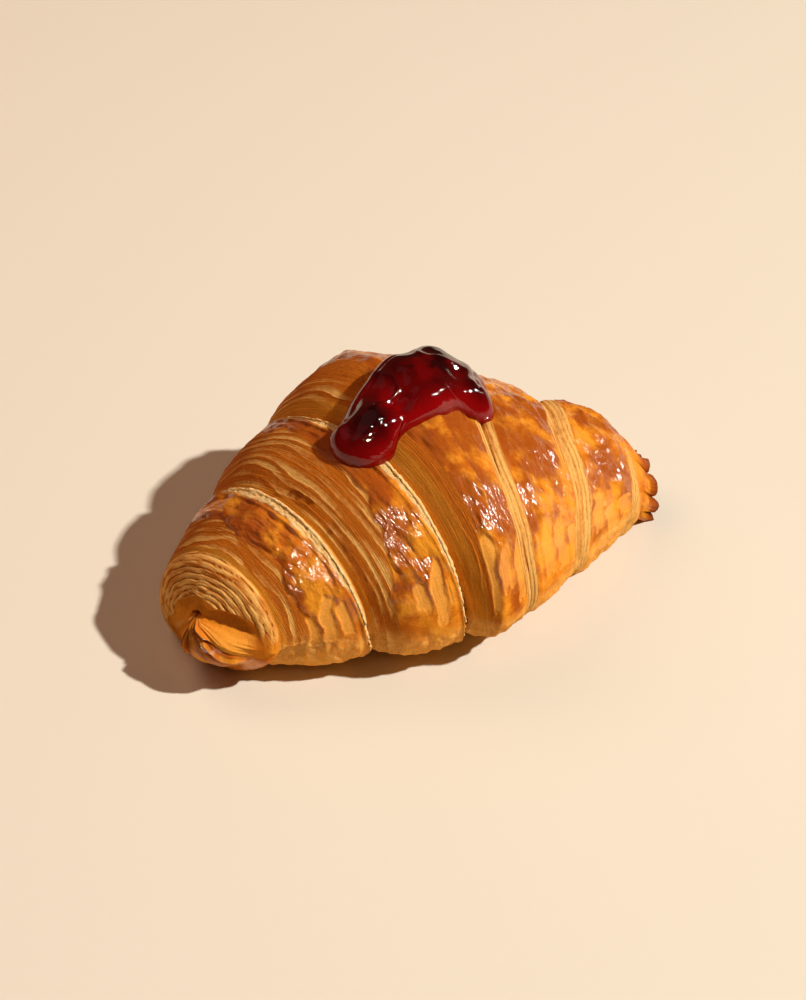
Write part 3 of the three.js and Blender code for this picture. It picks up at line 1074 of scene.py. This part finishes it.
@dataclass
class Jam:
    """The spoonful of jam on the crown."""

    crust: Crust
    around: int = 220
    rings: int = 90
    roll: float = 3.8
    edge: float = 4.0
    grid_cell: float = 0.6
    grid_reach: float = 36.0
    hidden: tuple = ((0.99, 1.2), (0.6, 4.0))
    outline: tuple = (
        (-25, 0), (-26, -6.5), (-23.5, -12), (-18.5, -14.6), (-13.5, -13.8), (-10, -11.4), (-4, -11),
        (3, -10.5), (9, -8.5), (13, -8.6), (17, -10.2), (20.5, -9.6), (22.5, -6), (24.5, 0),
        (26.5, 6), (24.5, 11), (19, 13.5), (14, 15.5), (5, 13.5), (-4, 12.5), (-11, 8.5), (-18, 5),
    )
    mounds: tuple = (
        (9, 5, 11, 5.0), (-16, -7, 8, 4.2), (19, -5.5, 4.5, 2.4), (14.5, -1, 3, -1.2),
        (-3, 3, 7, 1.4), (20, 7, 6, 1.4), (13, 11, 5, 1.8), (-8, -3, 3.5, -1.4),
    )

    def height_map(self, x: Grid, y: Grid) -> Grid:
        """Top of the crust under points of the plan.

        Args:
            x: Millimetres to the right.
            y: Millimetres to the back.

        Returns:
            Heights blended from a grid that holds the highest crust point of each
            cell, its empty cells filled from neighbours and the whole smoothed.
        """
        cell, reach = self.grid_cell, self.grid_reach
        cloud = np.concatenate(self.crust.clouds)
        size = int(2 * reach / cell)
        near = (np.abs(cloud[:, :2]) < reach - cell).all(1) & (cloud[:, 2] > 20)
        index = ((cloud[near, :2] + reach) / cell).astype(int)
        grid = np.zeros((size, size))
        np.maximum.at(grid, (index[:, 0], index[:, 1]), cloud[near, 2])
        for _ in range(4):
            around = np.max([np.roll(grid, s, a) for s in (-1, 1) for a in (0, 1)], axis=0)
            grid = np.where(grid > 0, grid, around)
        for _ in range(14):
            blur = sum(np.roll(grid, s, a) for s in (-1, 1) for a in (0, 1)) / 4
            grid = (grid + blur) / 2
        u, v = (x + reach) / cell - 0.5, (y + reach) / cell - 0.5
        i, j = np.floor(u).astype(int), np.floor(v).astype(int)
        a, b = u - i, v - j
        low = grid[i, j] * (1 - b) + grid[i, j + 1] * b
        high = grid[i + 1, j] * (1 - b) + grid[i + 1, j + 1] * b
        return low * (1 - a) + high * a

    def rim_line(self) -> Grid:
        """Closed outline: a Catmull-Rom curve through the listed points.

        Returns:
            Points in plan, evenly shared between the listed points.
        """
        knots = np.array(self.outline, float)
        t = np.arange(self.around) / self.around * len(knots)
        i = np.floor(t).astype(int)
        u = (t - i)[:, None]
        a, b, c, d = (knots[(i + k) % len(knots)] for k in (-1, 0, 1, 2))
        return 0.5 * (2 * b + (c - a) * u + (2 * a - 5 * b + 4 * c - d) * u**2
                      + (3 * b - a - 3 * c + d) * u**3)

    def build(self) -> bpy.types.Object:
        """Work out the jam.

        Returns:
            The closed mesh. Rings shrink from the outline to its middle; each point
            stands on a bridge between the crust and a smoothed crown, raised by
            mounds, and rolls down at the rim like a drop's edge.
        """
        line = self.rim_line()
        wobble = Noise(61).layered(line[:, 0] / 6, line[:, 1] / 6)
        line = line * (1 + 0.02 * wobble)[:, None]
        share = np.sin(np.linspace(0, 1, self.rings + 1)[1:] * np.pi / 2)[:, None]
        x, y = share * line[:, 0], share * line[:, 1]
        crust = self.height_map(x, y)
        form = self.crust.form
        half, height = form.section(x)
        middle = height * form.belly
        dome = middle + (height - middle) * np.sqrt(np.clip(1 - (y / half) ** 2, 0, 1)) - form.flat
        gaps = np.stack([x, y], -1)[:, :, None, :] - line[None, None, :, :]
        inset = np.sqrt((gaps**2).sum(-1).min(-1)) * (share < 1)
        roll = np.sqrt(np.clip(1 - (1 - np.clip(inset / self.roll, 0, 1)) ** 2, 0, 1))
        bridge = mix(crust, np.maximum(dome, crust), smooth(inset, 0.5, 6))
        rise = self.edge + sum(
            top * np.exp(-((x - mx) ** 2 + (y - my) ** 2) / reach**2)
            for mx, my, reach, top in self.mounds
        )
        ripple = Noise(63).layered(x / 6.5, y / 6.5, octaves=2) * smooth(inset, 0.6, 3)
        fold = 1 - np.abs(Noise(65).value(x / 9 + 2, y / 7))
        rise = rise * (0.85 + 0.15 * smooth(inset, 0, 5)) + 0.75 * ripple
        rise = rise + 0.9 * fold**4 * smooth(inset, 1, 4)
        top = bridge + roll * rise
        spread = 1.2 * np.sqrt(np.clip(1 - (2 * np.clip(inset / self.roll, 0, 1) - 0.8) ** 2, 0, 1))
        spread = spread * (inset < self.roll)
        side = np.roll(line, -2, 0) - np.roll(line, 2, 0)
        out = np.stack([side[:, 1], -side[:, 0]], -1) / np.linalg.norm(side, axis=1)[:, None]
        upper = np.stack([x + out[:, 0] * spread, y + out[:, 1] * spread, top], -1)
        skirt = [np.stack([x[-1] * k, y[-1] * k, crust[-1] - drop], -1) for k, drop in self.hidden]
        rings = np.concatenate([upper, np.array(skirt)])
        first = upper[0].mean(0)
        last = rings[-1].mean(0) - [0, 0, 1]
        cloud = np.concatenate([[first], rings.reshape(-1, 3), [last]])
        deep = np.concatenate([rise * roll, np.zeros((len(self.hidden), self.around))])
        fields = {"depth": np.concatenate([[deep[0, 0]], deep.ravel(), [0]])}
        piece = publish("jam_spoonful", cloud, tube_faces(len(rings), self.around), fields)
        LOG.info("jam: %d points", len(cloud))
        return piece


# ---------------------------------------------------------------- materials


class Graph:
    """A short way to lay nodes in a material or a group."""

    def __init__(self, tree: bpy.types.NodeTree) -> None:
        """Start on an empty tree."""
        self.tree = tree
        tree.nodes.clear()

    def add(self, kind: str, inputs: dict | None = None, **settings: object) -> bpy.types.Node:
        """Add a node.

        Args:
            kind: Node type without the ShaderNode prefix, or a full type name.
            inputs: Values or sockets for its inputs, by name or number.
            settings: The node's own properties.

        Returns:
            The node.
        """
        full = kind if kind.startswith("Node") else f"ShaderNode{kind}"
        node = self.tree.nodes.new(full)
        for key, value in settings.items():
            setattr(node, key, value)
        for key, value in (inputs or {}).items():
            self.feed(node.inputs[key], value)
        return node

    def feed(self, socket: Socket, value: object) -> None:
        """Link a socket to an input, or set its value."""
        if isinstance(value, Socket):
            self.tree.links.new(value, socket)
        else:
            socket.default_value = value

    def field(self, name: str) -> Socket:
        """A named value of the mesh."""
        return self.add("Attribute", attribute_name=name).outputs["Fac"]

    def math(self, operation: str, a: object, b: object = 0.0, clamp: bool = False) -> Socket:
        """Two-input arithmetic."""
        return self.add("Math", {0: a, 1: b}, operation=operation, use_clamp=clamp).outputs[0]

    def times(self, a: object, b: object) -> Socket:
        """Product."""
        return self.math("MULTIPLY", a, b)

    def plus(self, a: object, b: object) -> Socket:
        """Sum."""
        return self.math("ADD", a, b)

    def blend(self, share: object, a: object, b: object, mode: str = "MIX") -> Socket:
        """Mix two colours."""
        inputs = {0: share, 6: a, 7: b}
        return self.add("Mix", inputs, data_type="RGBA", blend_type=mode).outputs[2]

    def noise(self, vector: object, scale: float, detail: float = 3.0, rough: float = 0.55) -> Socket:
        """Noise share over a vector."""
        inputs = {"Vector": vector, "Scale": scale, "Detail": detail, "Roughness": rough}
        return self.add("TexNoise", inputs).outputs["Fac"]

    def window(self, value: object, low: float, high: float) -> Socket:
        """Ease a value from 0 at low to 1 at high."""
        inputs = {"Value": value, "From Min": low, "From Max": high}
        return self.add("MapRange", inputs, interpolation_type="SMOOTHSTEP").outputs[0]

    def place(self, group: bpy.types.NodeTree, vector: object, scale: float) -> bpy.types.Node:
        """A shared group, fed with a vector and a scale."""
        node = self.add("Group", node_tree=group)
        self.feed(node.inputs["Vector"], vector)
        self.feed(node.inputs["Scale"], scale)
        return node

    def stretched(self, vector: object, scale: tuple) -> Socket:
        """Scale a vector by axis."""
        return self.add("Mapping", {"Vector": vector, "Scale": scale}).outputs[0]


def blank_material(name: str) -> tuple[bpy.types.Material, Graph]:
    """A new material with an empty node tree, and the graph that fills it.

    Args:
        name: The material's name.

    Returns:
        The material and its graph.
    """
    material = bpy.data.materials.new(name)
    material.use_nodes = True
    return material, Graph(material.node_tree)


def rgba(red: float, green: float, blue: float) -> tuple:
    """A colour with full alpha."""
    return (red, green, blue, 1.0)


def grain_group() -> bpy.types.NodeTree:
    """Shared group: fine baked grain.

    Returns:
        A group with Vector and Scale inputs and Fine and Coarse outputs, 0 to 1.
    """
    tree = bpy.data.node_groups.new("baked_grain", "ShaderNodeTree")
    graph = Graph(tree)
    face = tree.interface
    face.new_socket("Vector", in_out="INPUT", socket_type="NodeSocketVector")
    face.new_socket("Scale", in_out="INPUT", socket_type="NodeSocketFloat").default_value = 1.0
    face.new_socket("Fine", in_out="OUTPUT", socket_type="NodeSocketFloat")
    face.new_socket("Coarse", in_out="OUTPUT", socket_type="NodeSocketFloat")
    source = graph.add("NodeGroupInput")
    size = graph.add("VectorMath", {0: source.outputs["Vector"]}, operation="SCALE")
    graph.feed(size.inputs["Scale"], source.outputs["Scale"])
    fine = graph.noise(size.outputs[0], 1700.0, 3.0, 0.6)
    coarse = graph.noise(size.outputs[0], 600.0, 3.0, 0.6)
    graph.add("NodeGroupOutput", {"Fine": fine, "Coarse": coarse})
    return tree


@dataclass(frozen=True)
class CrustFinish:
    """Egg-washed, baked dough: colours from pale layer edge to dark crack, with painted highlights on
    layer tops and painted shade in cracks, creases, folds and walls.
    """

    honey: tuple = rgba(0.76, 0.272, 0.018)
    amber: tuple = rgba(0.60, 0.152, 0.008)
    umber: tuple = rgba(0.32, 0.060, 0.004)
    cream: tuple = rgba(0.90, 0.63, 0.28)
    straw: tuple = rgba(0.88, 0.47, 0.120)
    toffee: tuple = rgba(0.46, 0.120, 0.012)
    tan: tuple = rgba(0.86, 0.36, 0.055)
    # Olive of the groove walls and the mouth's recess: partly duller crust, partly painted shade.
    olive: tuple = rgba(0.54, 0.190, 0.016)
    # Dark brown of cracks, also used as painted shade in creases, folds, seams and the pit.
    crack_and_shade_brown: tuple = rgba(0.10, 0.016, 0.002)
    dry_roughness: float = 0.74
    coat_roughness: float = 0.14
    specular: float = 0.02
    bump: float = 0.0009

    def material(self, grain: bpy.types.NodeTree) -> bpy.types.Material:
        """Lay the crust's nodes.

        Args:
            grain: The shared baked grain.

        Returns:
            The material.
        """
        material, g = blank_material("baked_crust")
        where = g.add("TexCoord").outputs["Object"]
        dough = g.add("UVMap", uv_map="dough").outputs[0]
        speck = g.place(grain, where, 1.0)
        mottle = g.window(g.noise(where, 125.0, 4.0, 0.65), 0.38, 0.60)
        patch = g.noise(where, 62.0, 5.0, 0.62)
        streak = g.noise(g.stretched(dough, (62.0, 7.0, 1.0)), 1.0, 4.0, 0.6)
        hair = g.noise(g.stretched(dough, (120.0, 16.0, 1.0)), 1.0, 3.0, 0.6)
        height = g.add("SeparateXYZ", {0: where}).outputs[2]
        glaze, layers, ridge = g.field("glaze"), g.field("layers"), g.field("ridge")

        colour = g.blend(mottle, self.honey, self.amber)
        brown = g.plus(g.times(g.window(height, 0.01, 0.066), 0.16), patch)
        brown = g.plus(brown, g.times(g.field("toast"), 0.30))
        colour = g.blend(g.times(g.window(brown, 0.54, 0.76), 0.9), colour, self.umber)
        band = g.blend(g.window(streak, 0.3, 0.7), self.toffee, self.amber)
        # Pale layer tops from ridge, which carries a painted highlight.
        lit = g.plus(g.times(ridge, 0.9), g.times(streak, 0.5))
        band = g.blend(g.window(lit, 0.34, 1.0), band, self.straw)
        colour = g.blend(layers, colour, band)
        # Olive on the groove walls and the recess, partly painted shade.
        wall = g.blend(g.window(streak, 0.4, 0.85), self.olive, self.honey)
        colour = g.blend(g.times(g.field("wall"), 0.9), colour, wall)
        fibre = g.window(g.plus(hair, speck.outputs["Coarse"]), 0.7, 1.2)
        colour = g.blend(g.field("rim"), colour, g.blend(fibre, self.straw, self.cream))
        colour = g.blend(g.times(g.field("bare"), g.window(streak, 0.1, 0.6)), colour, self.tan)
        crumb = g.blend(g.window(speck.outputs["Coarse"], 0.35, 0.65), self.tan, self.straw)
        colour = g.blend(g.times(g.field("low"), 0.6), colour, crumb)
        lines = g.times(layers, g.window(hair, 0.60, 0.76))
        # Cracks and fine lines go dark brown, also standing for painted shade.
        dark_and_shade = g.math("MAXIMUM", g.field("crack_and_shade"), g.times(lines, 0.5))
        colour = g.blend(g.times(dark_and_shade, 0.85), colour, self.crack_and_shade_brown)
        tint = g.add("MapRange", {"Value": speck.outputs["Fine"], "From Min": 0.3, "From Max": 0.7,
                                  "To Min": 0.8, "To Max": 1.08}).outputs[0]
        tint = g.add("CombineColor", {0: tint, 1: tint, 2: tint}).outputs[0]
        colour = g.blend(0.8, colour, tint, "MULTIPLY")

        wet = g.window(g.noise(where, 120.0, 3.0, 0.6), 0.34, 0.50)
        shine = g.times(glaze, wet)
        rough = g.math("SUBTRACT", self.dry_roughness, g.times(shine, 0.06))
        blister = g.noise(g.stretched(dough, (7.0, 24.0, 1.0)), 1.0, 3.0, 0.55)
        wrinkle = g.noise(g.stretched(dough, (21.0, 72.0, 1.0)), 1.0, 3.0, 0.6)
        relief = g.plus(g.times(blister, 0.5), g.times(wrinkle, 0.40))
        relief = g.times(relief, glaze)
        grain_depth = g.times(g.math("SUBTRACT", 1.0, glaze, clamp=True), 0.035)
        relief = g.plus(relief, g.times(speck.outputs["Fine"], grain_depth))
        dry = g.math("MAXIMUM", layers, g.field("rim"))
        relief = g.plus(relief, g.times(hair, g.times(dry, 0.6)))
        relief = g.plus(relief, g.times(speck.outputs["Coarse"], g.times(g.field("rim"), 0.9)))
        bump = g.add("Bump", {"Height": relief, "Distance": self.bump, "Strength": 1.0})
        skin = g.add("BsdfPrincipled", {
            "Base Color": colour,
            "Roughness": rough,
            "Normal": bump.outputs[0],
            "Coat Weight": shine,
            "Coat Roughness": self.coat_roughness,
            "Coat Normal": bump.outputs[0],
            "Specular IOR Level": self.specular,
        })
        g.add("OutputMaterial", {"Surface": skin.outputs[0]})
        return material


@dataclass(frozen=True)
class JamFinish:
    """Wet, dark red jam: brighter where it is thin, with pulp and seeds in it."""

    thick: tuple = rgba(0.014, 0.0003, 0.0005)
    thin: tuple = rgba(0.20, 0.0008, 0.0015)
    pulp: tuple = rgba(0.14, 0.0005, 0.001)
    thin_depth: float = 2.5
    thick_depth: float = 8.5
    roughness: float = 0.04
    index: float = 1.45
    bump: float = 0.0002

    def material(self, grain: bpy.types.NodeTree) -> bpy.types.Material:
        """Lay the jam's nodes.

        Args:
            grain: The shared baked grain, used here for pulp.

        Returns:
            The material.
        """
        material, g = blank_material("wet_jam")
        where = g.add("TexCoord").outputs["Object"]
        speck = g.place(grain, where, 0.8)
        deep = g.window(g.field("depth"), self.thin_depth, self.thick_depth)
        colour = g.blend(deep, self.thin, self.thick)
        clump = g.window(g.noise(where, 120.0, 3.0), 0.48, 0.68)
        colour = g.blend(g.times(clump, 0.55), colour, self.pulp)
        bump = g.add("Bump", {"Height": speck.outputs["Coarse"], "Distance": self.bump,
                              "Strength": 0.4})
        gel = g.add("BsdfPrincipled", {
            "Base Color": colour,
            "Roughness": self.roughness,
            "Normal": bump.outputs[0],
            "IOR": self.index,
        })
        g.add("OutputMaterial", {"Surface": gel.outputs[0]})
        return material


# ---------------------------------------------------------------- the studio


@dataclass(frozen=True)
class Lamp:
    """A square area light: where it hangs, its size, power, colour and what it lights."""

    name: str
    azimuth: float
    elevation: float
    distance: float
    size: float
    power: float
    colour: tuple
    diffuse: bool = True
    glossy: bool = True


@dataclass(frozen=True)
class Studio:
    """Pale floor, a key light, soft light from behind, two gloss lights and the camera."""

    floor_colour: tuple = rgba(0.70, 0.635, 0.51)
    lamps: tuple = (
        Lamp("key", 46.0, 46.0, 2.8, 0.09, 112.0, (1.0, 0.96, 0.92)),
        Lamp("fill", 212.0, 52.0, 1.3, 0.9, 5.3, (1.0, 0.62, 0.44), glossy=False),
        Lamp("window", 222.0, 50.0, 1.3, 0.8, 0.42, (1.0, 0.42, 0.46)),
        Lamp("catch_left", -40.0, 52.0, 1.6, 0.05, 26.0, (1.0, 0.88, 0.66), diffuse=False),
        Lamp("catch_right", 74.0, 30.0, 1.6, 0.05, 9.0, (1.0, 0.88, 0.66), diffuse=False),
    )
    sky: float = 0.05
    sky_colour: tuple = rgba(1.0, 0.58, 0.36)
    camera_azimuth: float = -28.0
    camera_elevation: float = 39.0
    camera_distance: float = 0.625
    target: tuple = (0.0, 0.0, 0.030)
    focal: float = 77.76
    sensor: float = 36.0
    shift: float = -0.008
    nearest: float = 0.01
    floor_half: float = 3.0

    @staticmethod
    def direction(azimuth: float, elevation: float) -> Vector:
        """Unit vector towards a place round the object; azimuth 0 is the front."""
        a, e = np.radians(azimuth), np.radians(elevation)
        return Vector((np.sin(a) * np.cos(e), -np.cos(a) * np.cos(e), np.sin(e)))

    def aim(self, obj: bpy.types.Object, azimuth: float, elevation: float, distance: float) -> None:
        """Put an object at a distance from the target, looking at it.

        Args:
            obj: The object.
            azimuth: Degrees round the target from the front.
            elevation: Degrees above it.
            distance: Metres from it.
        """
        towards = self.direction(azimuth, elevation)
        obj.location = Vector(self.target) + towards * distance
        obj.rotation_euler = towards.to_track_quat("Z", "Y").to_euler()

    def floor(self) -> bpy.types.Object:
        """A wide plain floor at the loaf's underside.

        Returns:
            The floor, one square face with its own plain material.
        """
        half = self.floor_half
        mesh = bpy.data.meshes.new("floor")
        corners = [(-half, -half, 0), (half, -half, 0), (half, half, 0), (-half, half, 0)]
        mesh.from_pydata(corners, [], [(0, 1, 2, 3)])
        obj = put("floor", mesh)
        material, g = blank_material("plain_floor")
        paper = g.add("BsdfPrincipled", {"Base Color": self.floor_colour, "Roughness": 0.9,
                                         "Specular IOR Level": 0.2})
        g.add("OutputMaterial", {"Surface": paper.outputs[0]})
        mesh.materials.append(material)
        return obj

    def light(self, lamp: Lamp) -> bpy.types.Object:
        """Add a square area light aimed at the target.

        Args:
            lamp: Where it hangs and what it gives.

        Returns:
            The light's object.
        """
        data = bpy.data.lights.new(lamp.name, "AREA")
        data.shape, data.size, data.energy = "SQUARE", lamp.size, lamp.power
        data.color = lamp.colour
        obj = put(lamp.name, data)
        self.aim(obj, lamp.azimuth, lamp.elevation, lamp.distance)
        obj.visible_diffuse, obj.visible_glossy = lamp.diffuse, lamp.glossy
        return obj

    def camera(self) -> bpy.types.Object:
        """The camera, at the front left and above.

        Returns:
            The camera's object, set as the scene's camera.
        """
        data = bpy.data.cameras.new("camera")
        data.sensor_fit, data.sensor_height, data.sensor_width = "VERTICAL", self.sensor, self.sensor
        data.lens = self.focal
        data.shift_x, data.shift_y = self.shift, self.shift
        data.clip_start = self.nearest
        obj = put("camera", data)
        self.aim(obj, self.camera_azimuth, self.camera_elevation, self.camera_distance)
        bpy.context.scene.camera = obj
        return obj

    def build(self) -> None:
        """Lay the floor, hang the lights and place the camera."""
        self.floor()
        for lamp in self.lamps:
            self.light(lamp)
        world = bpy.data.worlds.new("studio")
        world.use_nodes = True
        g = Graph(world.node_tree)
        sky = g.add("Background", {"Color": self.sky_colour, "Strength": self.sky})
        g.add("OutputWorld", {"Surface": sky.outputs[0]})
        bpy.context.scene.world = world
        bpy.context.scene.view_settings.view_transform = "Standard"
        self.camera()
        LOG.info("studio ready")


def dress(piece: bpy.types.Object, material: bpy.types.Material, node: str) -> None:
    """Give a piece its material, hang it under the root and hide the frame's node that it replaces.

    Args:
        piece: The piece.
        material: Its finish.
        node: The frame's node that it replaces.
    """
    piece.data.materials.append(material)
    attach(piece, "root")
    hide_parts(node)


def main() -> None:
    """Build every piece, dress it, and note the sizes."""
    logging.basicConfig(level=logging.INFO)
    Studio().build()
    grain = grain_group()
    crust, finish = Crust(), CrustFinish().material(grain)
    for part in Part:
        dress(crust.build(part), finish, "croissant")
    dress(Jam(crust).build(), JamFinish().material(grain), "jam")


if __name__ == "__main__":
    main()
